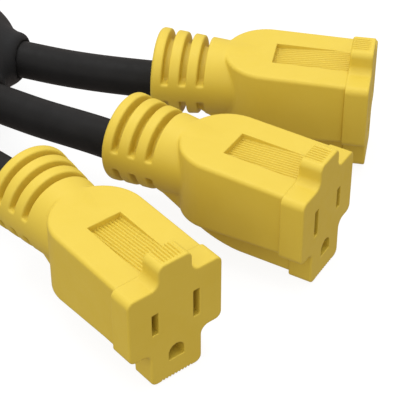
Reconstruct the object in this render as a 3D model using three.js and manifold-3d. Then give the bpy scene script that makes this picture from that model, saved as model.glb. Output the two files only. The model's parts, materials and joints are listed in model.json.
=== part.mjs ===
// Three-outlet end of a shore power cord: a moulded junction block, three short leads
// fanned out from it, and a moulded 15 A grounded socket on each lead.
// Millimetres. +X runs from the junction to the middle socket, +Y to the left, +Z up,
// and the surface that the cord lies on is z = 0, under the middle of the junction.

import * as THREE from 'three';
import { mergeVertices } from 'three/addons/utils/BufferGeometryUtils.js';
import Module from 'manifold-3d';

const wasm = await Module();
wasm.setup();

// ---------------------------------------------------------------- driving dimensions

const GAP = 0.3;                       // clearance between touching pieces

// Places of the three sockets. Each has its own frame: x forward out of the face,
// y to the left, z up, with the origin in the face between the two blade slots.
const SLOT_HEIGHT = 20.1;              // slot line above the surface
const FAN_ANGLE = 20;                  // degrees between neighbouring sockets
const MIDDLE_FACE_X = 138;
const SIDE_FACE_X = 124.7;
const SIDE_FACE_Y = 54.3;

// Socket pattern of a grounded 15 A outlet.
const SLOT_SPACING = 12.7;
const SLOT_WIDTH = 2.0;
const HOT_SLOT_TALL = 6.6;
const NEUTRAL_SLOT_TALL = 8.3;
const GROUND_DROP = 12.2;              // ground hole below the slot line
const GROUND_RADIUS = 2.5;
const GROUND_FLAT = 2.0;               // flat bottom of the hole below its centre

// Front flange, seen from the front: a wide part with a rib above and a keel below.
const FLANGE_LENGTH = 6.65;
const WIDE_HALF = 14.4;
const WIDE_TOP = 10.8;
const WIDE_BOTTOM = -9.1;
const RIB_HALF = 5.15;
const RIB_TOP = 17.1;
const KEEL_HALF = 7.95;
const KEEL_BOTTOM = -SLOT_HEIGHT;
const CORNER = 2.0;
const FLANGE_STEP = 1.1;               // the flange stands this proud of the body

// Body and strain-relief sleeve.
const BODY_REAR = -43.2;
const NOSE_LENGTH = 12.9;
const BODY_BOTTOM = -8.6;              // underside of the body at the flange
const BODY_RISE = 0.022;               // the top climbs and the underside falls by these
const BODY_FALL = 0.05;                // much for each millimetre towards the rear
const SLEEVE_IN_BODY = 12;             // the sleeve runs this far past the body's rear
const BODY_EDGE = 1.2;
const KEEL_FLAT_REAR = -29;
const KEEL_REAR = -44;
const ROOM_REAR = -41;                 // where the room inside narrows to the conductors
const GRIP_REAR = -28.6;               // sunk thumb grip on the top face
const GRIP_FRONT = -8.6;
const GRIP_HALF = 5.1;
const GRIP_DEPTH = 2.1;
const SLEEVE_RISE = 1.35;              // sleeve axis above the slot line
const SLEEVE_REAR = -63;
const SLEEVE_REAR_RADIUS = 12.8;
const SLEEVE_TAPER = 0.1;              // radius lost per millimetre towards the face
const GROOVE_CENTRES = [-58.8, -53.7, -48.6];
const GROOVE_WIDTH = 2.0;
const GROOVE_DEPTH = { top: 3.2, bottom: 1.8 };
const SPINE_HALF = 2.8;                // solid side spine left between the grooves

// Moulded insert and what it carries.
const INSERT_REAR = -26;
const INSERT_HALF = 10.4;
const INSERT_TOP = 6.9;
const INSERT_BOTTOM = -6.7;
const GROUND_BOSS_HALF = 4.5;
const GROUND_BOSS_BOTTOM = -16.3;
const POCKET_FRONT = -4.2;
const BLADE_POCKET = { wide: 5.4, tall: 9.4 };
const GROUND_POCKET = 3.4;             // radius, and flat bottom below its centre
const CONTACT_FRONT = -5.2;
const CONTACT_REAR = -17;
const LEAF = { thick: 0.7, half: 2.1, pinch: 1.5, pinchBack: 2.5, hotTall: 6.2, neutralTall: 7.8 };
const GROUND_SLEEVE = { outer: 2.95, inner: 2.35, slitHalf: 30 };
const BARREL_REAR = -25;
const BARREL_RADIUS = 2.1;

// Leads and the insulated conductors inside them.
const LEAD_DIAMETER = 11.2;
const LEAD_DROP = 2.3;                 // lead axis below the slot line
const LEAD_IN_SLEEVE = 11;             // jacket length moulded into a socket
const LEAD_IN_JUNCTION = 17;           // jacket length moulded into the junction
const LEAD_STRAIGHT = 6;               // straight run outside the junction and the socket
const CONDUCTOR_RADIUS = 1.4;
const CONDUCTOR_ORBIT = 2.75;
const LEAD_HEIGHT = 16.6;              // lead axis above the surface, at the junction

// Junction block.
const JUNCTION_CENTRE_X = -5;
const JUNCTION_HALF = { x: 32, y: 39.5, z: 18 };
const MIDDLE_COLLAR_X = 35.5;          // where the middle lead leaves the block
const SIDE_COLLAR = { x: 24.4, y: 23.1, yaw: 10 };
const COLLAR_RADIUS = 9.2;
const COLLAR_LENGTH = 26;
const COLLAR_ROUND = 3.4;
const LAYER_STEP = 5.5;                // height between the three conductor layers
const SPLICE = { front: -12.3, rear: -26, halfWidth: 4.9, halfTall: 2.1 };
const CARRIER = { front: -13.3, rear: -25, half: 7.6, halfTall: 8.8 };
const CAVITY_HALF_TALL = 9.2;
const CAVITY = { front: 8.5, frontHalf: 26, shoulder: -4, shoulderHalf: 23, waist: -12, behind: 1.5 };
const GLAND = { rear: -52, radius: 12.4, seat: 9.8, bore: 7.2, bushingLength: 15 };

// Materials.
const YELLOW = { color: 0xf8de5c, roughness: 0.55, metalness: 0 };
const BLACK = { color: 0x242324, roughness: 0.6, metalness: 0 };
const BRASS = { color: 0xc9a24a, roughness: 0.35, metalness: 1 };
const COPPER_TIN = { color: 0xb8b6ae, roughness: 0.4, metalness: 1 };
const CARRIER_GREY = { color: 0x8a8a84, roughness: 0.6, metalness: 0 };
const INSULATION = {
  hot: { color: 0x1b1b1d, roughness: 0.5, metalness: 0 },
  neutral: { color: 0xe9e8e2, roughness: 0.5, metalness: 0 },
  ground: { color: 0x2f8a45, roughness: 0.5, metalness: 0 },
};

// ---------------------------------------------------------------- solids and shapes

const radians = THREE.MathUtils.degToRad;

function solidOf(geometry) {
  const plain = geometry.clone();
  plain.deleteAttribute('normal');
  plain.deleteAttribute('uv');
  const merged = mergeVertices(plain, 1e-4);
  return new wasm.Manifold(new wasm.Mesh({
    numProp: 3,
    vertProperties: new Float32Array(merged.attributes.position.array),
    triVerts: new Uint32Array(merged.index.array),
  }));
}

function geometryOf(solid) {
  const mesh = solid.getMesh();
  const geometry = new THREE.BufferGeometry();
  geometry.setAttribute('position', new THREE.BufferAttribute(new Float32Array(mesh.vertProperties), 3));
  geometry.setIndex(new THREE.BufferAttribute(new Uint32Array(mesh.triVerts), 1));
  return geometry;
}

const joined = (first, ...others) => others.reduce((sum, other) => sum.add(other), first);
const cut = (first, ...others) => others.reduce((rest, other) => rest.subtract(other), first);

// Closed outline through corner points [x, y, radius], with each corner rounded.
function outline(corners) {
  const shape = new THREE.Shape();
  corners.forEach(([x, y, radius = 0], i) => {
    const corner = new THREE.Vector2(x, y);
    const [px, py] = corners[(i + corners.length - 1) % corners.length];
    const [nx, ny] = corners[(i + 1) % corners.length];
    const from = new THREE.Vector2(px, py).sub(corner).setLength(radius).add(corner);
    const to = new THREE.Vector2(nx, ny).sub(corner).setLength(radius).add(corner);
    if (i === 0) shape.moveTo(from.x, from.y);
    else shape.lineTo(from.x, from.y);
    if (radius > 0) shape.quadraticCurveTo(x, y, to.x, to.y);
  });
  shape.closePath();
  return shape;
}

const rectangle = (x0, x1, y0, y1, radius = 0) =>
  outline([[x0, y0, radius], [x1, y0, radius], [x1, y1, radius], [x0, y1, radius]]);

// Extrusions of an outline drawn in (x, y), (x, z) or (y, z).
function extrudeUp(shape, z0, z1, edge = 0, curveSegments = 3) {
  const geometry = new THREE.ExtrudeGeometry(shape, {
    depth: z1 - z0 - 2 * edge, curveSegments, bevelEnabled: edge > 0,
    bevelThickness: edge, bevelSize: edge, bevelOffset: -edge, bevelSegments: 2,
  });
  return geometry.translate(0, 0, z0 + edge);
}

function extrudeAcross(shape, y0, y1) {
  const settings = { depth: y1 - y0, curveSegments: 3, bevelEnabled: false };
  return new THREE.ExtrudeGeometry(shape, settings).rotateX(Math.PI / 2).translate(0, y1, 0);
}

function extrudeForward(shape, x0, x1, curveSegments = 3) {
  const settings = { depth: x1 - x0, curveSegments, bevelEnabled: false };
  const geometry = new THREE.ExtrudeGeometry(shape, settings);
  const axes = new THREE.Matrix4().makeBasis(
    new THREE.Vector3(0, 1, 0), new THREE.Vector3(0, 0, 1), new THREE.Vector3(1, 0, 0));
  return geometry.applyMatrix4(axes).translate(x0, 0, 0);
}

// Solid of revolution about the line y = 0, z = height. Its [x, radius] points start at the
// rear, go outwards first, and end on the axis or where they started.
function turned(profile, height = 0, segments = 28) {
  const points = profile.map(([x, radius]) => new THREE.Vector2(radius, x));
  return new THREE.LatheGeometry(points, segments).rotateZ(-Math.PI / 2).translate(0, 0, height);
}

const rod = (x0, x1, radius, height = 0, segments = 20) =>
  turned([[x0, 0], [x0, radius], [x1, radius], [x1, 0]], height, segments);

function tube(points, radius, sides, steps) {
  const section = new THREE.Shape(Array.from({ length: sides }, (unused, i) => {
    const angle = (2 * Math.PI * i) / sides;
    return new THREE.Vector2(radius * Math.cos(angle), radius * Math.sin(angle));
  }));
  const path = new THREE.CatmullRomCurve3(points, false, 'centripetal');
  return new THREE.ExtrudeGeometry(section, { steps, extrudePath: path });
}

function pieceMesh(name, geometry, look) {
  const mesh = new THREE.Mesh(geometry, new THREE.MeshStandardMaterial({ ...look, flatShading: true }));
  mesh.name = name;
  return mesh;
}

// ---------------------------------------------------------------- socket housing

const sleeveRadius = (x) => SLEEVE_REAR_RADIUS - SLEEVE_TAPER * (x - SLEEVE_REAR);

// Plan of the body: straight sides and a rounded rear.
function bodyPlan(half, rear, front) {
  const shape = new THREE.Shape();
  const noseX = rear + NOSE_LENGTH;
  shape.moveTo(front, half);
  shape.lineTo(noseX, half);
  shape.absellipse(noseX, 0, NOSE_LENGTH, half, Math.PI / 2, (3 * Math.PI) / 2, false);
  shape.lineTo(front, -half);
  shape.closePath();
  return shape;
}

// Body between the flange and its rounded rear, growing slightly taller towards the rear.
function bodySolid(half, front) {
  const plan = bodyPlan(half, BODY_REAR, front);
  const geometry = extrudeUp(plan, BODY_BOTTOM, WIDE_TOP, BODY_EDGE, 14);
  const { position } = geometry.attributes;
  for (let i = 0; i < position.count; i += 1) {
    const behind = front - position.getX(i);
    const z = position.getZ(i);
    position.setZ(i, z > 0 ? z + BODY_RISE * behind : z - BODY_FALL * behind);
  }
  return solidOf(geometry);
}

function keelSolid(half) {
  const bottom = KEEL_BOTTOM + FLANGE_STEP;
  const profile = outline([
    [-FLANGE_LENGTH - GAP, 0], [KEEL_REAR, 0], [KEEL_REAR, WIDE_BOTTOM],
    [KEEL_FLAT_REAR, bottom, 1.5], [-FLANGE_LENGTH - GAP, bottom],
  ]);
  return solidOf(extrudeAcross(profile, -half, half));
}

// Ring groove around the sleeve, open above and below, with both side spines left.
function grooveSolid(centre, side) {
  const x0 = centre - GROOVE_WIDTH / 2;
  const x1 = centre + GROOVE_WIDTH / 2;
  const floor = sleeveRadius(centre) - GROOVE_DEPTH[side];
  const outside = SLEEVE_REAR_RADIUS + 3;
  const ring = turned([[x0, floor], [x0, outside], [x1, outside], [x1, floor], [x0, floor]], SLEEVE_RISE);
  const low = side === 'top' ? SLEEVE_RISE + SPINE_HALF : -outside;
  const high = side === 'top' ? outside + SLEEVE_RISE + 1 : SLEEVE_RISE - SPINE_HALF;
  const half = rectangle(x0 - 1, x1 + 1, -outside - 1, outside + 1);
  return solidOf(ring).intersect(solidOf(extrudeUp(half, low, high)));
}

function gripSolid() {
  const above = WIDE_TOP + 2;
  const profile = outline([
    [GRIP_REAR, above], [GRIP_REAR, WIDE_TOP - GRIP_DEPTH], [GRIP_FRONT, WIDE_TOP], [GRIP_FRONT, above],
  ]);
  return solidOf(extrudeAcross(profile, -GRIP_HALF, GRIP_HALF));
}

// Room inside the housing for the insert, the contacts and the conductors.
function housingRoom() {
  const front = -FLANGE_LENGTH + 1;
  const half = INSERT_HALF + GAP;
  const narrow = CONDUCTOR_ORBIT + CONDUCTOR_RADIUS + 0.5;
  const plan = outline([
    [front, half], [INSERT_REAR - GAP, half], [ROOM_REAR, narrow],
    [ROOM_REAR, -narrow], [INSERT_REAR - GAP, -half], [front, -half],
  ]);
  const upper = extrudeUp(plan, INSERT_BOTTOM - GAP, INSERT_TOP + GAP);
  const lowerProfile = outline([
    [front, INSERT_BOTTOM], [ROOM_REAR, INSERT_BOTTOM], [ROOM_REAR, INSERT_BOTTOM - 1],
    [INSERT_REAR - 2 * GAP, GROUND_BOSS_BOTTOM - GAP], [front, GROUND_BOSS_BOTTOM - GAP],
  ]);
  const lower = extrudeAcross(lowerProfile, -GROUND_BOSS_HALF - GAP, GROUND_BOSS_HALF + GAP);
  const jacketEnd = SLEEVE_REAR + LEAD_IN_SLEEVE;
  const jacketBore = rod(SLEEVE_REAR - 1, jacketEnd + GAP, LEAD_DIAMETER / 2 + GAP, -LEAD_DROP);
  const wireBore = rod(jacketEnd, ROOM_REAR + 1, narrow, -LEAD_DROP);
  return joined(...[upper, lower, jacketBore, wireBore].map(solidOf));
}

function housingGeometry() {
  const half = WIDE_HALF - FLANGE_STEP;
  const front = -FLANGE_LENGTH - GAP;
  const sleeveFront = BODY_REAR + SLEEVE_IN_BODY;
  const squareFront = extrudeForward(
    rectangle(-half, half, BODY_BOTTOM, WIDE_TOP, BODY_EDGE), front - 2, front);
  const sleeve = turned([
    [SLEEVE_REAR, 0], [SLEEVE_REAR, SLEEVE_REAR_RADIUS - 1], [SLEEVE_REAR + 1, SLEEVE_REAR_RADIUS],
    [sleeveFront, sleeveRadius(sleeveFront)], [sleeveFront, 0],
  ], SLEEVE_RISE, 32);
  const solid = joined(bodySolid(half, front), solidOf(squareFront), solidOf(sleeve),
    keelSolid(KEEL_HALF - FLANGE_STEP / 2));
  const grooves = GROOVE_CENTRES.flatMap((x) => [grooveSolid(x, 'top'), grooveSolid(x, 'bottom')]);
  return geometryOf(cut(solid, gripSolid(), ...grooves, housingRoom()));
}

// ---------------------------------------------------------------- insert and contacts

function flangeOutline() {
  const right = [
    [KEEL_HALF, KEEL_BOTTOM, CORNER], [KEEL_HALF, WIDE_BOTTOM, CORNER],
    [WIDE_HALF, WIDE_BOTTOM, CORNER], [WIDE_HALF, WIDE_TOP, CORNER],
    [RIB_HALF, WIDE_TOP, CORNER], [RIB_HALF, RIB_TOP, CORNER],
  ];
  const left = right.map(([y, z, radius]) => [-y, z, radius]).reverse();
  return outline([...right, ...left]);
}

// Arched hole with a flat bottom.
function groundOutline(radius, flatDrop) {
  const shape = new THREE.Shape();
  shape.moveTo(radius, -GROUND_DROP - flatDrop);
  shape.lineTo(radius, -GROUND_DROP);
  shape.absarc(0, -GROUND_DROP, radius, 0, Math.PI, false);
  shape.lineTo(-radius, -GROUND_DROP - flatDrop);
  shape.closePath();
  return shape;
}

const slotAt = (y, tall, x0, x1, width) =>
  solidOf(extrudeForward(rectangle(y - width / 2, y + width / 2, -tall / 2, tall / 2), x0, x1));

function insertGeometry(hotSide) {
  const hotY = hotSide * SLOT_SPACING / 2;
  const flange = solidOf(extrudeForward(flangeOutline(), -FLANGE_LENGTH, 0));
  const core = solidOf(extrudeForward(
    rectangle(-INSERT_HALF, INSERT_HALF, INSERT_BOTTOM, INSERT_TOP, 1), INSERT_REAR, -FLANGE_LENGTH + 1));
  const boss = solidOf(extrudeForward(
    rectangle(-GROUND_BOSS_HALF, GROUND_BOSS_HALF, GROUND_BOSS_BOTTOM, INSERT_BOTTOM + 1),
    INSERT_REAR, -FLANGE_LENGTH + 1));
  const pocketRear = INSERT_REAR - 1;
  return geometryOf(cut(joined(flange, core, boss),
    slotAt(hotY, HOT_SLOT_TALL, POCKET_FRONT - 1, 1, SLOT_WIDTH),
    slotAt(-hotY, NEUTRAL_SLOT_TALL, POCKET_FRONT - 1, 1, SLOT_WIDTH),
    slotAt(hotY, BLADE_POCKET.tall, pocketRear, POCKET_FRONT, BLADE_POCKET.wide),
    slotAt(-hotY, BLADE_POCKET.tall, pocketRear, POCKET_FRONT, BLADE_POCKET.wide),
    solidOf(extrudeForward(groundOutline(GROUND_RADIUS, GROUND_FLAT), POCKET_FRONT - 1, 1, 8)),
    solidOf(extrudeForward(groundOutline(GROUND_POCKET, GROUND_POCKET), pocketRear, POCKET_FRONT, 8))));
}

// Blade contact: two leaves that pinch just behind their flared mouth, on a crimp barrel.
function bladeContactGeometry(tall) {
  const pinchX = CONTACT_FRONT - LEAF.pinchBack;
  const webX = CONTACT_REAR + 2 * LEAF.thick;
  const upper = [
    [webX, LEAF.half - LEAF.thick], [pinchX, LEAF.pinch - LEAF.thick],
    [CONTACT_FRONT, LEAF.half - LEAF.thick],
    [CONTACT_FRONT, LEAF.half], [pinchX, LEAF.pinch], [CONTACT_REAR, LEAF.half],
  ];
  const lower = upper.map(([x, y]) => [x, -y]).reverse();
  return geometryOf(joined(
    solidOf(extrudeUp(outline([...lower, ...upper]), -tall / 2, tall / 2)),
    solidOf(rod(BARREL_REAR, CONTACT_REAR + LEAF.thick, BARREL_RADIUS, 0, 12))));
}

// Ground contact: a tube slit along its top, on a crimp barrel.
function groundContactGeometry() {
  const { outer, inner, slitHalf } = GROUND_SLEEVE;
  const from = radians(90 + slitHalf - 360);
  const to = radians(90 - slitHalf);
  const ring = new THREE.Shape();
  ring.absarc(0, 0, outer, from, to, false);
  ring.absarc(0, 0, inner, to, from, true);
  ring.closePath();
  return geometryOf(joined(
    solidOf(extrudeForward(ring, CONTACT_REAR, CONTACT_FRONT, 14)),
    solidOf(rod(CONTACT_REAR - 2 * LEAF.thick, CONTACT_REAR + LEAF.thick, outer, 0, 14)),
    solidOf(rod(BARREL_REAR, CONTACT_REAR - LEAF.thick, BARREL_RADIUS, 0, 12)),
  )).translate(0, 0, -GROUND_DROP);
}

// Conductor from a crimp barrel back to the cut end of the jacket.
function socketConductorGeometry(startY, startZ, orbitAngle) {
  const endY = CONDUCTOR_ORBIT * Math.cos(radians(orbitAngle));
  const endZ = -LEAD_DROP + CONDUCTOR_ORBIT * Math.sin(radians(orbitAngle));
  const endX = SLEEVE_REAR + LEAD_IN_SLEEVE + GAP;
  return tube([
    new THREE.Vector3(endX, endY, endZ), new THREE.Vector3(ROOM_REAR, endY, endZ),
    new THREE.Vector3(BARREL_REAR - 2, startY, startZ), new THREE.Vector3(BARREL_REAR - GAP, startY, startZ),
  ], CONDUCTOR_RADIUS, 6, 8);
}

function socketGroup(name, hotSide) {
  const group = new THREE.Group();
  const hotY = hotSide * SLOT_SPACING / 2;
  const orbitOf = (y) => (y > 0 ? 30 : 150);
  const piece = (part, geometry, look) => group.add(pieceMesh(`${name}_${part}`, geometry, look));
  piece('housing', housingGeometry(), YELLOW);
  piece('insert', insertGeometry(hotSide), YELLOW);
  piece('hot_contact', bladeContactGeometry(LEAF.hotTall).translate(0, hotY, 0), BRASS);
  piece('neutral_contact', bladeContactGeometry(LEAF.neutralTall).translate(0, -hotY, 0), BRASS);
  piece('ground_contact', groundContactGeometry(), BRASS);
  piece('hot_conductor', socketConductorGeometry(hotY, 0, orbitOf(hotY)), INSULATION.hot);
  piece('neutral_conductor', socketConductorGeometry(-hotY, 0, orbitOf(-hotY)), INSULATION.neutral);
  piece('ground_conductor', socketConductorGeometry(0, -GROUND_DROP, 270), INSULATION.ground);
  return group;
}

// ---------------------------------------------------------------- leads

// Places on the three leads, in plan: where the jacket leaves the junction and where it
// enters its sleeve.
function leadEnds(side) {
  const yaw = radians(side * FAN_ANGLE);
  const collarYaw = radians(side * SIDE_COLLAR.yaw);
  const collar = side === 0
    ? new THREE.Vector2(MIDDLE_COLLAR_X, 0)
    : new THREE.Vector2(SIDE_COLLAR.x, side * SIDE_COLLAR.y);
  const face = side === 0
    ? new THREE.Vector2(MIDDLE_FACE_X, 0)
    : new THREE.Vector2(SIDE_FACE_X, side * SIDE_FACE_Y);
  const away = new THREE.Vector2(Math.cos(yaw), Math.sin(yaw));
  const collarAway = new THREE.Vector2(Math.cos(collarYaw), Math.sin(collarYaw));
  const sleeve = face.clone().addScaledVector(away, SLEEVE_REAR);
  return { collar, collarAway, sleeve, away };
}

function leadGeometry(side) {
  const { collar, collarAway, sleeve, away } = leadEnds(side);
  const run = (point, along, height, distances) => distances.map((distance) => {
    const place = point.clone().addScaledVector(along, distance);
    return new THREE.Vector3(place.x, place.y, height);
  });
  return tube([
    ...run(collar, collarAway, LEAD_HEIGHT, [-LEAD_IN_JUNCTION, -LEAD_IN_JUNCTION / 2, 0, LEAD_STRAIGHT]),
    ...run(sleeve, away, SLOT_HEIGHT - LEAD_DROP, [-LEAD_STRAIGHT, 0, LEAD_IN_SLEEVE / 2, LEAD_IN_SLEEVE]),
  ], LEAD_DIAMETER / 2, 12, 8);
}

// ---------------------------------------------------------------- junction

function collarSolid(x, y, yaw, length, bore) {
  const round = COLLAR_ROUND;
  const arc = [0, 30, 60, 90].map((angle) => [
    -round + round * Math.sin(radians(angle)), COLLAR_RADIUS - round + round * Math.cos(radians(angle)),
  ]);
  const body = solidOf(turned([[-length, 0], [-length, COLLAR_RADIUS + 1], ...arc, [0, 0]], 0, 24)
    .rotateZ(radians(yaw)).translate(x, y, LEAD_HEIGHT));
  const hole = solidOf(rod(-LEAD_IN_JUNCTION - GAP, 1, bore, 0, 20)
    .rotateZ(radians(yaw)).translate(x, y, LEAD_HEIGHT));
  return { body, hole };
}

function junctionRoom() {
  const { front, frontHalf, shoulder, shoulderHalf, waist, behind } = CAVITY;
  const narrow = CARRIER.half + GAP;
  const rear = SPLICE.rear - behind;
  const left = [[front, frontHalf], [shoulder, shoulderHalf], [waist, narrow], [rear, narrow]];
  const right = left.map(([x, y]) => [x, -y]).reverse();
  const plan = outline([...left, ...right]);
  const low = LEAD_HEIGHT - CAVITY_HALF_TALL;
  return solidOf(extrudeUp(plan, low, LEAD_HEIGHT + CAVITY_HALF_TALL));
}

function junctionGeometry() {
  const half = JUNCTION_HALF;
  const block = new THREE.SphereGeometry(1, 28, 16).rotateX(Math.PI / 2).scale(half.x, half.y, half.z)
    .translate(JUNCTION_CENTRE_X, 0, LEAD_HEIGHT);
  const gland = rod(GLAND.rear, JUNCTION_CENTRE_X - 20, GLAND.radius, LEAD_HEIGHT, 32);
  const bore = LEAD_DIAMETER / 2 + GAP;
  const collars = [
    collarSolid(MIDDLE_COLLAR_X, 0, 0, COLLAR_LENGTH, bore),
    collarSolid(SIDE_COLLAR.x, SIDE_COLLAR.y, SIDE_COLLAR.yaw, COLLAR_LENGTH, bore),
    collarSolid(SIDE_COLLAR.x, -SIDE_COLLAR.y, -SIDE_COLLAR.yaw, COLLAR_LENGTH, bore),
  ];
  const outside = joined(solidOf(block), solidOf(gland), ...collars.map((collar) => collar.body));
  const underfloor = solidOf(extrudeUp(rectangle(-60, 60, -60, 60), -10, 0));
  const seatFront = GLAND.rear + GLAND.bushingLength + GAP;
  const bushingSeat = rod(GLAND.rear - 1, seatFront, GLAND.seat, LEAD_HEIGHT, 28);
  const cordWay = rod(GLAND.rear, SPLICE.rear, GLAND.bore, LEAD_HEIGHT, 24);
  const middleWay = rod(0, MIDDLE_COLLAR_X - LEAD_IN_JUNCTION, bore, LEAD_HEIGHT, 20);
  return geometryOf(cut(outside, underfloor, junctionRoom(), solidOf(bushingSeat), solidOf(cordWay),
    solidOf(middleWay), ...collars.map((collar) => collar.hole)));
}

function bushingGeometry() {
  const x0 = GLAND.rear;
  const x1 = GLAND.rear + GLAND.bushingLength;
  const outer = GLAND.seat - GAP;
  return turned([[x0, GLAND.bore], [x0, outer], [x1, outer], [x1, GLAND.bore], [x0, GLAND.bore]],
    LEAD_HEIGHT, 28);
}

const layerHeight = (layer) => LEAD_HEIGHT + layer * LAYER_STEP;

function carrierGeometry() {
  const block = solidOf(extrudeUp(rectangle(CARRIER.rear, CARRIER.front, -CARRIER.half, CARRIER.half),
    LEAD_HEIGHT - CARRIER.halfTall, LEAD_HEIGHT + CARRIER.halfTall));
  const channels = [1, 0, -1].map((layer) => solidOf(extrudeForward(
    rectangle(-SPLICE.halfWidth - GAP, SPLICE.halfWidth + GAP,
      layerHeight(layer) - SPLICE.halfTall - GAP, layerHeight(layer) + SPLICE.halfTall + GAP),
    CARRIER.rear - 1, CARRIER.front + 1)));
  return geometryOf(cut(block, ...channels));
}

// Flat crimp ferrule that joins one conductor of every lead to the supply.
function spliceGeometry(layer) {
  const { front, rear, halfWidth, halfTall } = SPLICE;
  return extrudeForward(rectangle(-halfWidth, halfWidth, -halfTall, halfTall, 1.9), rear, front)
    .translate(0, 0, layerHeight(layer));
}

// Conductor from the cut end of a lead's jacket to its place in a splice.
function junctionConductorGeometry(side, layer) {
  const { collar, collarAway } = leadEnds(side);
  const start = collar.clone().addScaledVector(collarAway, -LEAD_IN_JUNCTION - GAP);
  const near = start.clone().addScaledVector(collarAway, -2.5);
  const startZ = LEAD_HEIGHT + layer * (CONDUCTOR_RADIUS * 2 + 0.4);
  const endY = side * (CONDUCTOR_RADIUS * 2 + 0.35);
  const endX = SPLICE.front + GAP;
  return tube([
    new THREE.Vector3(start.x, start.y, startZ), new THREE.Vector3(near.x, near.y, startZ),
    new THREE.Vector3(endX + 4, endY, layerHeight(layer)), new THREE.Vector3(endX, endY, layerHeight(layer)),
  ], CONDUCTOR_RADIUS, 6, 8);
}

// ---------------------------------------------------------------- assembly

const SIDES = [['left', 1], ['middle', 0], ['right', -1]];
const LAYERS = [['hot', 1], ['neutral', 0], ['ground', -1]];
const HOT_SIDE = { left: 1, middle: 1, right: -1 };

const cord = new THREE.Group();
cord.add(pieceMesh('junction_housing', junctionGeometry(), BLACK));
cord.add(pieceMesh('supply_gland_bushing', bushingGeometry(), BLACK));
cord.add(pieceMesh('splice_carrier', carrierGeometry(), CARRIER_GREY));
for (const [wire, layer] of LAYERS) {
  cord.add(pieceMesh(`${wire}_splice`, spliceGeometry(layer), COPPER_TIN));
}
for (const [name, side] of SIDES) {
  cord.add(pieceMesh(`${name}_lead`, leadGeometry(side), BLACK));
  for (const [wire, layer] of LAYERS) {
    cord.add(pieceMesh(`junction_${name}_${wire}_conductor`, junctionConductorGeometry(side, layer),
      INSULATION[wire]));
  }
  const socket = socketGroup(`${name}_socket`, HOT_SIDE[name]);
  const { x, y } = side === 0 ? { x: MIDDLE_FACE_X, y: 0 } : { x: SIDE_FACE_X, y: side * SIDE_FACE_Y };
  socket.position.set(x, y, SLOT_HEIGHT);
  socket.rotation.z = radians(side * FAN_ANGLE);
  cord.add(socket);
}

export default cord;
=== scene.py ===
"""Looks of the three-socket end of a shore power cord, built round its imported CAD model.

The soft moulded shapes are written as distance fields in millimetres, with every edge radius and
fillet that the mould has, and skinned into closed meshes. Everything else is in metres, +Z up.
"""

import json
import math

import bmesh
import bpy
import numpy as np
import openvdb
from mathutils import Matrix, Vector

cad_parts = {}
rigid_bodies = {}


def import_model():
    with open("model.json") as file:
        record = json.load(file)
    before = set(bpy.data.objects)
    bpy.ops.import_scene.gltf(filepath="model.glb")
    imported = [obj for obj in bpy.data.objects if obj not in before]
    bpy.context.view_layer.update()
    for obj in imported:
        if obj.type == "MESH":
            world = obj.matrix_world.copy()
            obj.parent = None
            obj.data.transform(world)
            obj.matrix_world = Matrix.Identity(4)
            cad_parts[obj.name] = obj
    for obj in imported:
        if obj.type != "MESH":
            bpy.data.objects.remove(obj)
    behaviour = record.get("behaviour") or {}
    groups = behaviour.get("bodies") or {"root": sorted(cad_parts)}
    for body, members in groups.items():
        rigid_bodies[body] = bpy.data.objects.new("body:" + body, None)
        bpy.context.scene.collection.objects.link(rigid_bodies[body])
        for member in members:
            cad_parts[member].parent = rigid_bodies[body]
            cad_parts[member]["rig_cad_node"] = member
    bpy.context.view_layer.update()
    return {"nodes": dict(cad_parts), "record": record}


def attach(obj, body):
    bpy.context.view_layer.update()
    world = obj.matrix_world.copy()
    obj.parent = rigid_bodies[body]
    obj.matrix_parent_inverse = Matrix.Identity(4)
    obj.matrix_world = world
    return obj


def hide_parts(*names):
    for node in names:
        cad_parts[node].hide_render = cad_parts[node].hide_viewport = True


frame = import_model()

MM = 0.001
MOUNTS = {mount["name"]: mount for mount in frame["record"]["mounts"]}
SIDES = {"left": 1, "middle": 0, "right": -1}
HOT_SIDE = {"left": 1, "middle": 1, "right": -1}

# ------------------------------------------------------------------ sizes, in millimetres
# Socket frame: x forward with the face at 0, y left, z up from the line of the blade slots.
SLOT_SPACING = 12.7
SLOT_WIDTH = 2.0
SLOT_TALL = {"hot": 6.6, "neutral": 8.3}
GROUND_DROP = 12.2
GROUND_RADIUS = 2.45
GROUND_FLAT = 2.0
GROUND_POCKET = 3.4                  # radius behind the hole, and its flat bottom below the centre
HOLE_EDGE = 0.1

FLANGE_LENGTH = 6.65
WIDE_HALF, WIDE_TOP, WIDE_BOTTOM = 14.4, 10.8, -9.1
RIB_HALF, RIB_TOP = 5.15, 17.1
KEEL_HALF, KEEL_BOTTOM = 7.95, -20.1
OUTLINE_ROUND, OUTLINE_FILLET = 2.0, 2.3
FACE_EDGE, STEP_EDGE, RIB_EDGE = 0.5, 0.12, 0.8

BODY_HALF, BODY_BOTTOM = 13.3, -8.6
BODY_RISE, BODY_FALL = 0.022, 0.05   # the top climbs and the underside falls towards the rear
BODY_EDGE, BODY_KEEL_FILLET = 1.2, 1.2
SEAM_GAP = 0.2                       # between the housing and the flange
NOSE_X, NOSE_LENGTH = -30.3, 12.9
NOSE_FILLET = 0.5
BODY_KEEL_HALF, BODY_KEEL_BOTTOM = 7.4, -18.7
KEEL_SLOPE = {"x": -29.0, "along": (-9.0, -15.0), "round": 4.0}

GRIP_REAR, GRIP_FRONT, GRIP_HALF = -28.6, -7.6, 5.1
GRIP_DEPTH, RIDGE_PITCH, RIDGE_HEIGHT = 2.25, 0.98, 0.5
KEEL_RIDGE_HEIGHT = 0.4
GRIP_EDGE = 0.15
RIDGE_FADE = 0.8                      # the rib's ridges end this far behind the face, over this length

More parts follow.
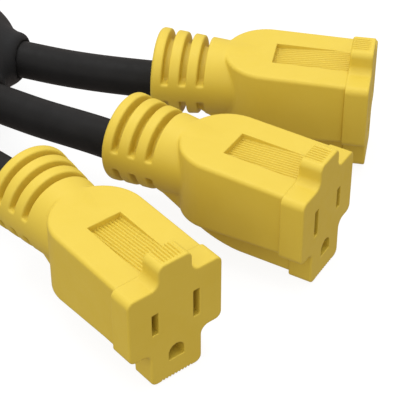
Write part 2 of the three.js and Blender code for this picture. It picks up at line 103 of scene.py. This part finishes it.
SLEEVE_RISE, SLEEVE_REAR, SLEEVE_FRONT = 1.35, -63.0, -33.0
SLEEVE_RADIUS, SLEEVE_TAPER, SLEEVE_EDGE = 12.8, 0.1, 1.5
GROOVE_CENTRE, GROOVE_PITCH, GROOVE_HALF = -53.7, 5.1, 1.0
GROOVE_DEPTH = {"top": 3.3, "bottom": 2.1}
SPINE_HALF, GROOVE_EDGE = 2.8, 0.5

INSERT_REAR, INSERT_HALF, INSERT_TOP, INSERT_BOTTOM = -26.0, 10.4, 6.9, -6.7
BOSS_HALF, BOSS_BOTTOM = 4.5, -16.3
INSERT_EDGE, BOSS_EDGE, BOSS_FILLET = 1.0, 0.6, 0.5
POCKET_FRONT, POCKET_HALF, POCKET_TALL = -4.2, 2.7, 9.4
ROOM_REAR, ROOM_SLACK = -41.0, 0.3
FAR = 99.0                           # well past the part on any side

LEAD_DIAMETER, LEAD_HEIGHT, LEAD_DROP = 11.2, 16.6, 2.3
LEAD_IN_SLEEVE, LEAD_IN_JUNCTION, LEAD_STRAIGHT = 11.0, 17.0, 6.0
WIRE_BORE = 4.65
LEAD_PLAY = 0.05                     # between a jacket and the hole round it

JUNCTION_X, JUNCTION_HALF = -5.0, (32.0, 39.5, 18.0)
COLLARS = {"left": (24.4, 23.1, 10.0), "middle": (35.5, 0.0, 0.0), "right": (24.4, -23.1, -10.0)}
COLLAR_RADIUS, COLLAR_ROUND, COLLAR_FILLET = 7.9, 2.4, 3.0
COLLAR_SETBACK = {"left": 1.6, "middle": 6.5, "right": 1.6}
COLLAR_LENGTH, COLLAR_HOLE_REAR, COLLAR_HOLE_FRONT = 26.0, -30.0, 9.0
JUNCTION_ROOM = {"rear": -27.5, "front": 8.5, "half_tall": 9.2}
ROOM_WAIST = {"x": -12.0, "half": 7.9, "spread": 1.9}      # narrow rear part, and how fast it opens
ROOM_SIDE = {"half": 23.0, "spread": 0.2}                  # limit on the open part's half-width at x = 0
BOTTOM_EDGE = 0.8
GLAND_REAR, GLAND_RADIUS, GLAND_SEAT, GLAND_BORE, BUSHING_LENGTH = -52.0, 12.4, 9.8, 7.2, 15.0
GLAND_EDGE, GLAND_FRONT, GLAND_FILLET, GLAND_WAY_FRONT = 1.5, -20.0, 2.5, -26.0
GLAND_RINGS = {"x": -42.0, "apart": 2.6, "deep": 1.8}
BUSHING_GAP, BUSHING_EDGE = 0.3, 0.5
LIP_LENGTH, BUSHING_RIB_PITCH, BUSHING_RIB_HEIGHT = 1.2, 5.0, 0.25

# ------------------------------------------------------------------ camera
AZIMUTH, ELEVATION = 30.634, 38.133
AIM = Vector((0.1070, -0.0132, 0.0201))
DISTANCE = 0.3948
LENS = 134.54

view = Vector((
    -math.sin(math.radians(AZIMUTH)) * math.cos(math.radians(ELEVATION)),
    math.cos(math.radians(AZIMUTH)) * math.cos(math.radians(ELEVATION)),
    -math.sin(math.radians(ELEVATION)),
))
camera = bpy.data.objects.new("camera", bpy.data.cameras.new("camera"))
camera.data.lens = LENS
camera.data.clip_start, camera.data.clip_end = 0.01, 20.0
camera.location = AIM - view * DISTANCE
camera.rotation_euler = (math.radians(90 - ELEVATION), 0, math.radians(AZIMUTH))
bpy.context.scene.collection.objects.link(camera)
bpy.context.scene.camera = camera


# ------------------------------------------------------------------ leads
def socket_place(name):
    """Matrix from a socket's own frame, in metres, to the row frame."""
    mount = MOUNTS[f"{name}_socket_face"]
    yaw = math.atan2(mount["axis"][1], mount["axis"][0])
    return Matrix.Translation(mount["pos_m"]) @ Matrix.Rotation(yaw, 4, "Z")


def lead_route(name):
    """Points of a lead's centreline: out of its collar, across in one smooth bend, into its sleeve."""
    x, y, yaw = COLLARS[name]
    collar = Vector((x, y, LEAD_HEIGHT)) * MM
    out = Vector((math.cos(math.radians(yaw)), math.sin(math.radians(yaw)), 0))
    place = socket_place(name)
    sleeve = place @ (Vector((SLEEVE_REAR, 0, -LEAD_DROP)) * MM)
    inward = (place.to_3x3() @ Vector((1, 0, 0))).normalized()
    lengths = np.linspace(-LEAD_IN_JUNCTION, LEAD_STRAIGHT, 6).tolist()
    first = [collar + out * (along * MM) for along in lengths]
    lengths = np.linspace(-LEAD_STRAIGHT, LEAD_IN_SLEEVE, 6).tolist()
    last = [sleeve + inward * (along * MM) for along in lengths]
    start, end = first[-1], last[0]
    reach = (end - start).length
    middle = []
    for t in np.linspace(0, 1, 28)[1:-1].tolist():
        h = (2 * t**3 - 3 * t**2 + 1, t**3 - 2 * t**2 + t, -2 * t**3 + 3 * t**2, t**3 - t**2)
        middle.append(start * h[0] + out * (h[1] * reach) + end * h[2] + inward * (h[3] * reach))
    return first + middle + last


def lead_tube(name, points, radius, sides=64):
    """Closed tube of round section along points that run almost level."""
    tube = bmesh.new()
    rings = []
    for k, point in enumerate(points):
        along = (points[min(k + 1, len(points) - 1)] - points[max(k - 1, 0)]).normalized()
        across = along.cross(Vector((0, 0, 1)))
        turns = [2 * math.pi * step / sides for step in range(sides)]
        rings.append([tube.verts.new(point + across * (radius * math.cos(turn))
                                     + Vector((0, 0, radius * math.sin(turn)))) for turn in turns])
    for ring, following in zip(rings, rings[1:]):
        for k in range(sides):
            after = (k + 1) % sides
            tube.faces.new((ring[k], ring[after], following[after], following[k])).smooth = True
    tube.faces.new(rings[0])
    tube.faces.new(rings[-1])
    bmesh.ops.recalc_face_normals(tube, faces=tube.faces)
    mesh = bpy.data.meshes.new(name)
    tube.to_mesh(mesh)
    tube.free()
    piece = bpy.data.objects.new(name, mesh)
    bpy.context.scene.collection.objects.link(piece)
    return piece


leads = {}
for side in SIDES:
    leads[side] = lead_tube(f"{side}_lead_jacket", lead_route(side), LEAD_DIAMETER / 2 * MM)
    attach(leads[side], "root")
    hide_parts(f"{side}_lead")


# ------------------------------------------------------------------ materials
def linear(red, green, blue):
    """Scene-linear colour from display values of 0 to 255."""
    return tuple(((c / 255 + 0.055) / 1.055) ** 2.4 if c > 10 else c / 255 / 12.92
                 for c in (red, green, blue))


class Nodes:
    """Small helper that adds and links the nodes of one material."""

    def __init__(self, name):
        self.material = bpy.data.materials.new(name)
        self.material.use_nodes = True
        self.tree = self.material.node_tree
        self.shader = self.tree.nodes["Principled BSDF"]
        self.place = self.add("ShaderNodeTexCoord").outputs["Object"]

    def add(self, kind, **settings):
        node = self.tree.nodes.new(kind)
        for key, value in settings.items():
            setattr(node, key, value)
        return node

    def link(self, output, target):
        self.tree.links.new(output, target)

    def noise(self, size_mm, detail=3.0, roughness=0.5, stretch=(1, 1, 1)):
        """Noise whose features are about size_mm wide."""
        mapping = self.add("ShaderNodeMapping")
        mapping.inputs["Scale"].default_value = stretch
        self.link(self.place, mapping.inputs["Vector"])
        node = self.add("ShaderNodeTexNoise")
        node.inputs["Scale"].default_value = 1 / (size_mm * MM)
        node.inputs["Detail"].default_value = detail
        node.inputs["Roughness"].default_value = roughness
        self.link(mapping.outputs["Vector"], node.inputs["Vector"])
        return node.outputs["Fac"]

    def spread(self, value, low, high, start=0.3, end=0.7):
        """Value from start..end turned into low..high."""
        node = self.add("ShaderNodeMapRange")
        for name, limit in (("From Min", start), ("From Max", end), ("To Min", low), ("To Max", high)):
            node.inputs[name].default_value = limit
        self.link(value, node.inputs["Value"])
        return node.outputs["Result"]

    def mix(self, factor, first, second):
        node = self.add("ShaderNodeMix", data_type="RGBA")
        for value, socket in ((factor, node.inputs["Factor"]), (first, node.inputs[6]),
                              (second, node.inputs[7])):
            if isinstance(value, bpy.types.NodeSocket):
                self.link(value, socket)
            elif isinstance(value, tuple):
                socket.default_value = (*value, 1)
            else:
                socket.default_value = value
        return node.outputs[2]

    def bump(self, height, distance_mm, strength, below=None):
        node = self.add("ShaderNodeBump")
        node.inputs["Strength"].default_value = strength
        node.inputs["Distance"].default_value = distance_mm * MM
        self.link(height, node.inputs["Height"])
        if below is not None:
            self.link(below, node.inputs["Normal"])
        return node.outputs["Normal"]

    def worn_edges(self, start, end):
        """1 on convex edges, 0 on flats and in hollows."""
        return self.spread(self.add("ShaderNodeNewGeometry").outputs["Pointiness"], 0, 1, start, end)


def moulded(name, colour, shade, worn, roughness, grain=0.35, specular=0.4):
    """Satin moulded vinyl: faint clouding of the pigment, a fine spark-eroded grain, rubbed edges."""
    n = Nodes(name)
    clouds = n.spread(n.noise(14, 2), 0, 1)
    mottle = n.spread(n.noise(1.6, 4, 0.6), 0, 0.35)
    base = n.mix(clouds, colour, shade)
    base = n.mix(mottle, base, shade)
    edges = n.spread(n.worn_edges(0.52, 0.6), 0, 0.5, 0, 1)
    base = n.mix(edges, base, worn)
    n.link(base, n.shader.inputs["Base Color"])
    rough = n.spread(n.noise(3, 4, 0.6), roughness - 0.06, roughness + 0.06)
    n.link(rough, n.shader.inputs["Roughness"])
    fine = n.bump(n.noise(grain, 2), 0.02, 0.35)
    wavy = n.bump(n.noise(9, 1), 0.05, 0.25, fine)
    n.link(wavy, n.shader.inputs["Normal"])
    n.shader.inputs["Specular IOR Level"].default_value = specular
    return n.material


def jacket(name, colour, shade):
    """Extruded cable jacket: satin, with faint lines drawn along it by the die."""
    n = Nodes(name)
    base = n.mix(n.spread(n.noise(6, 3), 0, 1), colour, shade)
    n.link(base, n.shader.inputs["Base Color"])
    n.link(n.spread(n.noise(2.5, 4, 0.6), 0.42, 0.56), n.shader.inputs["Roughness"])
    lines = n.bump(n.noise(1.0, 3, 0.6, (0.08, 1, 1)), 0.03, 0.3)
    n.link(n.bump(n.noise(0.4, 2), 0.012, 0.3, lines), n.shader.inputs["Normal"])
    n.shader.inputs["Specular IOR Level"].default_value = 0.08
    return n.material


def metal(name, colour, shade, roughness):
    """Formed sheet metal: rolling lines and slight tarnish."""
    n = Nodes(name)
    n.link(n.mix(n.spread(n.noise(1.5, 5, 0.65), 0, 1), colour, shade), n.shader.inputs["Base Color"])
    n.link(n.spread(n.noise(0.8, 4), roughness - 0.08, roughness + 0.1), n.shader.inputs["Roughness"])
    n.link(n.bump(n.noise(0.25, 2, 0.5, (0.1, 1, 1)), 0.01, 0.4), n.shader.inputs["Normal"])
    n.shader.inputs["Metallic"].default_value = 1.0
    return n.material


def insulation(name, colour, shade):
    """Thin smooth wire insulation."""
    n = Nodes(name)
    n.link(n.mix(n.spread(n.noise(2, 3), 0, 1), colour, shade), n.shader.inputs["Base Color"])
    n.link(n.spread(n.noise(1, 3), 0.34, 0.48), n.shader.inputs["Roughness"])
    n.link(n.bump(n.noise(0.3, 2, 0.5, (0.1, 1, 1)), 0.01, 0.3), n.shader.inputs["Normal"])
    return n.material


MATERIALS = {
    "yellow_moulding": moulded("yellow_moulding", linear(214, 190, 71), linear(211, 186, 65),
                               linear(217, 196, 85), 0.52, specular=0.3),
    "black_moulding": moulded("black_moulding", linear(38, 39, 40), linear(34, 35, 36),
                              linear(50, 50, 50), 0.5, specular=0.08),
    "cord_jacket": jacket("cord_jacket", linear(34, 34, 34), linear(30, 30, 30)),
    "splice_carrier": moulded("splice_carrier", linear(137, 137, 131), linear(126, 126, 120),
                              linear(150, 150, 145), 0.6),
    "tinned_copper": metal("tinned_copper", (0.56, 0.54, 0.5), (0.45, 0.42, 0.38), 0.35),
    "brass": metal("brass", (0.66, 0.45, 0.16), (0.5, 0.32, 0.1), 0.32),
    "hot_insulation": insulation("hot_insulation", linear(30, 30, 32), linear(24, 24, 26)),
    "neutral_insulation": insulation("neutral_insulation", linear(232, 231, 224), linear(220, 218, 209)),
    "ground_insulation": insulation("ground_insulation", linear(47, 138, 69), linear(38, 120, 58)),
}


def finish(piece, slot):
    piece.data.materials.clear()
    piece.data.materials.append(MATERIALS[slot])


# ------------------------------------------------------------------ distance fields
def fillet(a, b, radius):
    """Union of two shapes with a concave fillet where they meet."""
    corner = np.hypot(np.maximum(radius - a, 0), np.maximum(radius - b, 0))
    return np.maximum(radius, np.minimum(a, b)) - corner


def rounded(a, b, radius):
    """What two shapes share, with the edge between them rounded."""
    corner = np.hypot(np.maximum(radius + a, 0), np.maximum(radius + b, 0))
    return np.minimum(-radius, np.maximum(a, b)) + corner


def without(a, b, radius):
    """The first shape less the second, with a rounded rim."""
    return rounded(a, -b, radius)


def between(value, low, high):
    return np.maximum(low - value, value - high)


def box2(u, v, u_half, v_low, v_high, radius):
    return rounded(np.abs(u) - u_half, between(v, v_low, v_high), radius)


def bullet(x, y):
    """Plan of a socket body: straight sides and a half-elliptical rear."""
    u = np.minimum(x - NOSE_X, 0) / NOSE_LENGTH
    v = y / BODY_HALF
    tiny = 1e-6
    reach = np.hypot(u, v) + tiny
    slope = np.hypot(u / NOSE_LENGTH, v / BODY_HALF) + tiny / BODY_HALF
    return reach * (reach - 1) / slope


def body_top(x):
    return WIDE_TOP - BODY_RISE * (x + FLANGE_LENGTH)


def body_bottom(x):
    return BODY_BOTTOM + BODY_FALL * (x + FLANGE_LENGTH)


def keel_field(x, y, z):
    run, drop = KEEL_SLOPE["along"]
    steep = math.hypot(run, drop)
    slope = ((x - KEEL_SLOPE["x"]) * run + (z - BODY_KEEL_BOTTOM) * drop) / steep
    profile = rounded(BODY_KEEL_BOTTOM - z, slope, KEEL_SLOPE["round"])
    return rounded(rounded(np.abs(y) - BODY_KEEL_HALF, profile, BODY_EDGE), z, 0.1)


def grooves_field(x, radial, z):
    """Three ring grooves, each open above and below a solid spine on either side."""
    nearest = np.clip(np.round((x - GROOVE_CENTRE) / GROOVE_PITCH), -1, 1)
    across = np.abs(x - GROOVE_CENTRE - nearest * GROOVE_PITCH) - GROOVE_HALF
    surface = SLEEVE_RADIUS - SLEEVE_TAPER * (x - SLEEVE_REAR)
    upper = rounded(surface - GROOVE_DEPTH["top"] - radial, SPINE_HALF - z, GROOVE_EDGE)
    lower = rounded(surface - GROOVE_DEPTH["bottom"] - radial, z + SPINE_HALF, GROOVE_EDGE)
    return rounded(across, np.minimum(upper, lower), GROOVE_EDGE)


def valleys(y):
    """1 in the narrow valleys between the ridges of a grip, 0 on their broad tops."""
    return (0.5 - 0.5 * np.cos(2 * math.pi * y / RIDGE_PITCH)) ** 1.5


def grip_field(x, y, z):
    """Sunk thumb grip: its ribbed floor climbs from the rear to the top face."""
    share = np.clip((GRIP_FRONT - x) / (GRIP_FRONT - GRIP_REAR), 0, 1)
    floor = body_top(x) - (GRIP_DEPTH - RIDGE_HEIGHT) * share - RIDGE_HEIGHT * valleys(y)
    sides = np.maximum(np.abs(y) - GRIP_HALF, GRIP_REAR - x)
    return np.maximum(sides, (floor - z) * 0.8)


def room_field(x, y, z):
    """Room in the housing for the insert, the conductors and the end of the lead."""
    narrow = np.clip((x - ROOM_REAR) / (INSERT_REAR - ROOM_REAR), 0, 1)
    half = WIRE_BORE + (INSERT_HALF + ROOM_SLACK - WIRE_BORE) * narrow
    lengthwise = between(x, ROOM_REAR, 1.0)
    tall = between(z, INSERT_BOTTOM - ROOM_SLACK, INSERT_TOP + ROOM_SLACK)
    upper = np.maximum(np.abs(y) - half, tall)
    deep = INSERT_BOTTOM + (BOSS_BOTTOM - ROOM_SLACK - INSERT_BOTTOM) * narrow
    lower = np.maximum(np.abs(y) - BOSS_HALF - ROOM_SLACK, between(z, deep, 0.0))
    axis = np.hypot(y, z + LEAD_DROP)
    jacket_end = SLEEVE_REAR + LEAD_IN_SLEEVE
    mouth = np.maximum(axis - LEAD_DIAMETER / 2 - LEAD_PLAY, between(x, -FAR, jacket_end + ROOM_SLACK))
    wires = np.maximum(axis - WIRE_BORE, between(x, jacket_end, ROOM_REAR + 1))
    return np.minimum(np.maximum(np.minimum(upper, lower), lengthwise), np.minimum(mouth, wires))


def housing_field(x, y, z):
    """Body with its keel, the grooved sleeve behind it and the sunk grip on top."""
    body = rounded(bullet(x, y), z - body_top(x), BODY_EDGE)
    body = rounded(body, body_bottom(x) - z, BODY_EDGE)
    body = fillet(body, keel_field(x, y, z), BODY_KEEL_FILLET)
    radial = np.hypot(y, z - SLEEVE_RISE)
    sleeve = radial - (SLEEVE_RADIUS - SLEEVE_TAPER * (x - SLEEVE_REAR))
    sleeve = rounded(sleeve, SLEEVE_REAR - x, SLEEVE_EDGE)
    sleeve = np.maximum(sleeve, x - SLEEVE_FRONT)
    sleeve = without(sleeve, grooves_field(x, radial, z - SLEEVE_RISE), GROOVE_EDGE)
    solid = fillet(body, sleeve, NOSE_FILLET)
    solid = np.maximum(solid, x + FLANGE_LENGTH - SEAM_GAP)
    solid = without(solid, grip_field(x, y, z), GRIP_EDGE)
    return np.maximum(solid, -room_field(x, y, z))


def flange_field(x, y, z):
    """Front flange: a wide part with a ribbed block above and a keel below."""
    flat = np.clip((RIB_HALF - OUTLINE_ROUND + 0.4 - np.abs(y)) * 2, 0, 1)
    flat = flat * np.clip((-RIDGE_FADE - x) / RIDGE_FADE, 0, 1)
    top = RIB_TOP - RIDGE_HEIGHT * valleys(y) * flat
    wide = box2(y, z, WIDE_HALF, WIDE_BOTTOM, WIDE_TOP, OUTLINE_ROUND)
    rib = rounded(np.abs(y) - RIB_HALF, z - top, OUTLINE_ROUND)
    rib = rounded(np.maximum(rib, -z), -FLANGE_LENGTH - x, RIB_EDGE)
    ridged = np.clip((GRIP_HALF - np.abs(y)) * 2, 0, 1)
    under = KEEL_BOTTOM + KEEL_RIDGE_HEIGHT * valleys(y) * ridged
    keel = rounded(np.abs(y) - KEEL_HALF, under - z, OUTLINE_ROUND)
    keel = np.maximum(keel, z)
    outline = fillet(fillet(wide, rib, OUTLINE_FILLET), keel, OUTLINE_FILLET)
    plate = rounded(outline, x, FACE_EDGE)
    return rounded(plate, -FLANGE_LENGTH - x, STEP_EDGE)


def insert_field(hot_side):
    """Field of the insert: flange, contact block, blade slots and ground hole."""
    def field(x, y, z):
        core = box2(y, z, INSERT_HALF, INSERT_BOTTOM, INSERT_TOP, INSERT_EDGE)
        boss = box2(y, z, BOSS_HALF, BOSS_BOTTOM, INSERT_BOTTOM + 2, BOSS_EDGE)
        shaft = np.maximum(fillet(core, boss, BOSS_FILLET), between(x, INSERT_REAR, -FLANGE_LENGTH + 1))
        solid = np.minimum(flange_field(x, y, z), shaft)
        for wire, side in (("hot", hot_side), ("neutral", -hot_side)):
            off = y - side * SLOT_SPACING / 2
            slot = np.maximum(np.abs(off) - SLOT_WIDTH / 2, np.abs(z) - SLOT_TALL[wire] / 2)
            pocket = np.maximum(np.abs(off) - POCKET_HALF, np.abs(z) - POCKET_TALL / 2)
            solid = without(solid, np.maximum(slot, POCKET_FRONT - 1 - x), HOLE_EDGE)
            solid = np.maximum(solid, -np.maximum(pocket, x - POCKET_FRONT))
        drop = z + GROUND_DROP
        arch = np.where(drop > 0, np.hypot(y, drop), np.abs(y)) - GROUND_RADIUS
        hole = np.maximum(arch, -GROUND_FLAT - drop)
        wide_arch = np.maximum(arch + GROUND_RADIUS - GROUND_POCKET, -GROUND_POCKET - drop)
        solid = without(solid, np.maximum(hole, POCKET_FRONT - 1 - x), HOLE_EDGE)
        return np.maximum(solid, -np.maximum(wide_arch, x - POCKET_FRONT))
    return field


def turned_about(x, y, place):
    """x and y in the frame of a place (x, y, yaw in degrees)."""
    px, py, yaw = place
    c, s = math.cos(math.radians(yaw)), math.sin(math.radians(yaw))
    return (x - px) * c + (y - py) * s, (y - py) * c - (x - px) * s


def junction_field(x, y, z):
    """Flattened dome with a collar for each lead, the ringed supply gland and the room inside."""
    h = z - LEAD_HEIGHT
    a, b, c = JUNCTION_HALF
    u = x - JUNCTION_X
    reach = np.sqrt((u / a) ** 2 + (y / b) ** 2 + (h / c) ** 2) + 1e-6
    slope = np.sqrt((u / a**2) ** 2 + (y / b**2) ** 2 + (h / c**2) ** 2) + 1e-6 / c
    solid = reach * (reach - 1) / slope
    holes = []
    for side, place in COLLARS.items():
        along, off = turned_about(x, y, place)
        radial = np.hypot(off, h)
        collar = rounded(radial - COLLAR_RADIUS, along + COLLAR_SETBACK[side], COLLAR_ROUND)
        solid = fillet(solid, np.maximum(collar, -COLLAR_LENGTH - along), COLLAR_FILLET)
        holes.append(np.maximum(radial - LEAD_DIAMETER / 2 - LEAD_PLAY,
                                between(along, COLLAR_HOLE_REAR, COLLAR_HOLE_FRONT)))
    radial = np.hypot(y, h)
    gland = rounded(radial - GLAND_RADIUS, GLAND_REAR - x, GLAND_EDGE)
    gland = np.maximum(gland, x - GLAND_FRONT)
    ring = np.abs(np.abs(x - GLAND_RINGS["x"]) - GLAND_RINGS["apart"]) - GROOVE_HALF
    ring_floor = GLAND_RADIUS - GLAND_RINGS["deep"] - radial
    ring = rounded(ring, np.maximum(ring_floor, SPINE_HALF - np.abs(h)), GROOVE_EDGE)
    solid = fillet(solid, without(gland, ring, GROOVE_EDGE), GLAND_FILLET)
    solid = rounded(solid, -z, BOTTOM_EDGE)
    half = np.minimum(ROOM_WAIST["half"] + ROOM_WAIST["spread"] * np.maximum(x - ROOM_WAIST["x"], 0),
                      ROOM_SIDE["half"] + ROOM_SIDE["spread"] * x)
    room = np.maximum(np.abs(y) - half, between(x, JUNCTION_ROOM["rear"], JUNCTION_ROOM["front"]))
    room = np.maximum(room, np.abs(h) - JUNCTION_ROOM["half_tall"])
    seat_front = GLAND_REAR + BUSHING_LENGTH + BUSHING_GAP
    seat = np.maximum(radial - GLAND_SEAT, between(x, -FAR, seat_front))
    way = np.maximum(radial - GLAND_BORE, between(x, -FAR, GLAND_WAY_FRONT))
    for hole in (room, seat, way, *holes):
        solid = np.maximum(solid, -hole)
    return solid


def bushing_field(x, y, z):
    """Soft ring in the gland's mouth: a rounded lip and three sealing ribs in its bore."""
    radial = np.hypot(y, z - LEAD_HEIGHT)
    rear = GLAND_REAR
    length = between(x, rear, rear + BUSHING_LENGTH)
    barrel = rounded(radial - GLAND_SEAT + BUSHING_GAP, length, BUSHING_EDGE)
    lip = rounded(radial - GLAND_SEAT, between(x, rear - LIP_LENGTH, rear), BUSHING_EDGE)
    ribs = 0.5 + 0.5 * np.cos(2 * math.pi * (x - rear) / BUSHING_RIB_PITCH)
    bore = radial - GLAND_BORE + BUSHING_RIB_HEIGHT * ribs
    return without(fillet(barrel, lip, BUSHING_GAP), bore, BUSHING_EDGE)


# ------------------------------------------------------------------ skinning
def lines(*spans):
    """Sample positions: spans of (start, end, step) laid one after another."""
    parts = [np.linspace(a, b, max(2, round((b - a) / step) + 1))[:-1] for a, b, step in spans]
    return np.concatenate([*parts, [spans[-1][1]]])


def mirrored(values):
    return np.concatenate([-values[::-1], values[1:]])


def skin(name, field, xs, ys, zs, pulls=6):
    """Closed mesh of a field's zero surface, with its vertices pulled exactly onto it. Metres."""
    grid = openvdb.FloatGrid(5.0)
    grid.copyFromArray(field(xs[:, None, None], ys[None, :, None], zs[None, None, :]).astype(np.float32))
    points, quads = grid.convertToQuads(isovalue=0.0)
    axes = (xs, ys, zs)
    at = np.stack([np.interp(points[:, k], np.arange(len(axes[k])), axes[k]) for k in range(3)], axis=1)
    step, most = 0.01, 0.12
    for _ in range(pulls):
        value = field(*at.T)
        slope = np.stack([
            (field(*(at + step * side).T) - field(*(at - step * side).T)) / (2 * step) for side in np.eye(3)
        ], axis=1)
        move = slope * (value / np.maximum((slope**2).sum(1), 0.3))[:, None]
        far = np.linalg.norm(move, axis=1, keepdims=True)
        at -= move * np.minimum(1, most / np.maximum(far, 1e-9))
    mesh = bpy.data.meshes.new(name)
    mesh.from_pydata((at * MM).tolist(), [], quads.tolist())
    mesh.validate()
    mesh.shade_smooth()
    return mesh


def add_piece(name, mesh, slot, nodes, place=None):
    piece = bpy.data.objects.new(name, mesh)
    bpy.context.scene.collection.objects.link(piece)
    piece.matrix_world = place or Matrix.Identity(4)
    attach(piece, "root")
    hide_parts(*nodes)
    finish(piece, slot)
    return piece


# ------------------------------------------------------------------ sockets
# Sample spans are in millimetres, finest where ridges, grooves and small edges are.
coarse = 1.0
housing_mesh = skin(
    "socket_housing", housing_field,
    lines((-64, -44, 0.25 * coarse), (-44, -30, 0.4 * coarse), (-30, -28, 0.2 * coarse),
          (-28, -5.6, 0.6 * coarse)),
    mirrored(lines((0, 5.6, RIDGE_PITCH / 8 * coarse), (5.6, 14.4, 0.4 * coarse))),
    lines((-20, -12, 0.6 * coarse), (-12, 8, 0.4 * coarse), (8, 15, 0.22 * coarse)))
insert_meshes = {
    hot_side: skin(
        f"socket_insert_{'left' if hot_side > 0 else 'right'}_hot", insert_field(hot_side),
        lines((-27, -8, 0.9 * coarse), (-8, -5, 0.2 * coarse), (-5, -1, 0.5 * coarse),
              (-1, 1, 0.15 * coarse)),
        mirrored(lines((0, 5.4, RIDGE_PITCH / 8 * coarse), (5.4, 15.4, 0.3 * coarse))),
        lines((-21, -19, 0.2 * coarse), (-19, 14, 0.33 * coarse), (14, 18, 0.15 * coarse)))
    for hot_side in set(HOT_SIDE.values())
}
for side in SIDES:
    place = socket_place(side)
    housing = add_piece(f"{side}_socket_moulding", housing_mesh, "yellow_moulding",
                        [f"{side}_socket_housing"], place)
    insert = add_piece(f"{side}_socket_face_insert", insert_meshes[HOT_SIDE[side]], "yellow_moulding",
                       [f"{side}_socket_insert"], place)

# ------------------------------------------------------------------ junction
add_piece("junction_moulding", skin(
    "junction", junction_field,
    lines((-54, -36, 0.5 * coarse), (-36, 37, 0.7 * coarse)),
    mirrored(lines((0, 41, 0.7 * coarse))),
    lines((-1, 36, 0.6 * coarse))), "black_moulding", ["junction_housing"])
add_piece("supply_gland_seal", skin(
    "gland_seal", bushing_field,
    lines((-54, -36, 0.35 * coarse)),
    mirrored(lines((0, 11, 0.35 * coarse))),
    lines((5, 28, 0.35 * coarse))), "black_moulding", ["supply_gland_bushing"])

# ------------------------------------------------------------------ CAD nodes that show as they are
SLOTS = {part["node"]: part["material_slot"] for part in frame["record"]["subparts"]}
for node, piece in frame["nodes"].items():
    if not piece.hide_render:
        finish(piece, SLOTS[node])

# ------------------------------------------------------------------ what each lead is
for side in SIDES:
    finish(leads[side], "cord_jacket")

# ------------------------------------------------------------------ floor, world and lights
bpy.ops.mesh.primitive_plane_add(size=6, location=(0.05, 0, -0.0004))
floor = bpy.context.object
floor.name = "floor"
floor.visible_diffuse = False
floor.visible_glossy = False
floor_nodes = Nodes("pale_floor")
floor_nodes.shader.inputs["Base Color"].default_value = (0.14, 0.14, 0.14, 1)
floor_nodes.shader.inputs["Roughness"].default_value = 0.9
floor_nodes.shader.inputs["Specular IOR Level"].default_value = 0.0
floor_nodes.shader.inputs["Emission Color"].default_value = (1, 1, 1, 1)
floor_nodes.shader.inputs["Emission Strength"].default_value = 0.9
floor.data.materials.append(floor_nodes.material)

# Bright overhead, dim and slightly warm towards and below the horizon, plain white behind all.
SKY_LOW, SKY_HIGH = 0.4, 1.08
HORIZON_LOW, HORIZON_HIGH = -0.35, 0.75      # sines of the heights that the change runs between
HORIZON_TINT = (1.0, 0.86, 0.8, 1)
world = bpy.data.worlds.new("studio")
bpy.context.scene.world = world
world.use_nodes = True
sky = world.node_tree
direction = sky.nodes.new("ShaderNodeTexCoord")
height = sky.nodes.new("ShaderNodeSeparateXYZ")
dome = sky.nodes.new("ShaderNodeMapRange")
dome.interpolation_type = "SMOOTHSTEP"
dome.inputs["From Min"].default_value = HORIZON_LOW
dome.inputs["From Max"].default_value = HORIZON_HIGH
dome.inputs["To Min"].default_value = SKY_LOW
dome.inputs["To Max"].default_value = SKY_HIGH
rays = sky.nodes.new("ShaderNodeLightPath")
strength = sky.nodes.new("ShaderNodeMix")
strength.inputs[3].default_value = 1.0
sky.links.new(direction.outputs["Generated"], height.inputs[0])
sky.links.new(height.outputs["Z"], dome.inputs["Value"])
sky.links.new(rays.outputs["Is Camera Ray"], strength.inputs[0])
sky.links.new(dome.outputs["Result"], strength.inputs[2])
sky.links.new(strength.outputs[0], sky.nodes["Background"].inputs["Strength"])
tint = sky.nodes.new("ShaderNodeMix")
tint.data_type = "RGBA"
tint.inputs[6].default_value = HORIZON_TINT
tint.inputs[7].default_value = (1, 1, 1, 1)
warmth = sky.nodes.new("ShaderNodeMath")
warmth.operation = "MAXIMUM"
sky.links.new(rays.outputs["Is Camera Ray"], warmth.inputs[0])
sky.links.new(height.outputs["Z"], warmth.inputs[1])
sky.links.new(warmth.outputs[0], tint.inputs[0])
sky.links.new(tint.outputs[2], sky.nodes["Background"].inputs["Color"])


def softbox(name, location, target, size, power):
    light = bpy.data.objects.new(name, bpy.data.lights.new(name, "AREA"))
    light.data.shape = "DISK"
    light.data.size = size
    light.data.energy = power
    light.location = location
    light.rotation_euler = (Vector(target) - Vector(location)).to_track_quat("-Z", "Y").to_euler()
    bpy.context.scene.collection.objects.link(light)


softbox("top", (-0.15, 0.1, 1.2), (0.08, 0, 0), 0.9, 6.0)
softbox("left", (0.1, -1.1, 0.5), (0.08, 0, 0), 0.9, 2.4)

scene = bpy.context.scene
scene.view_settings.view_transform = "Standard"
scene.view_settings.look = "None"
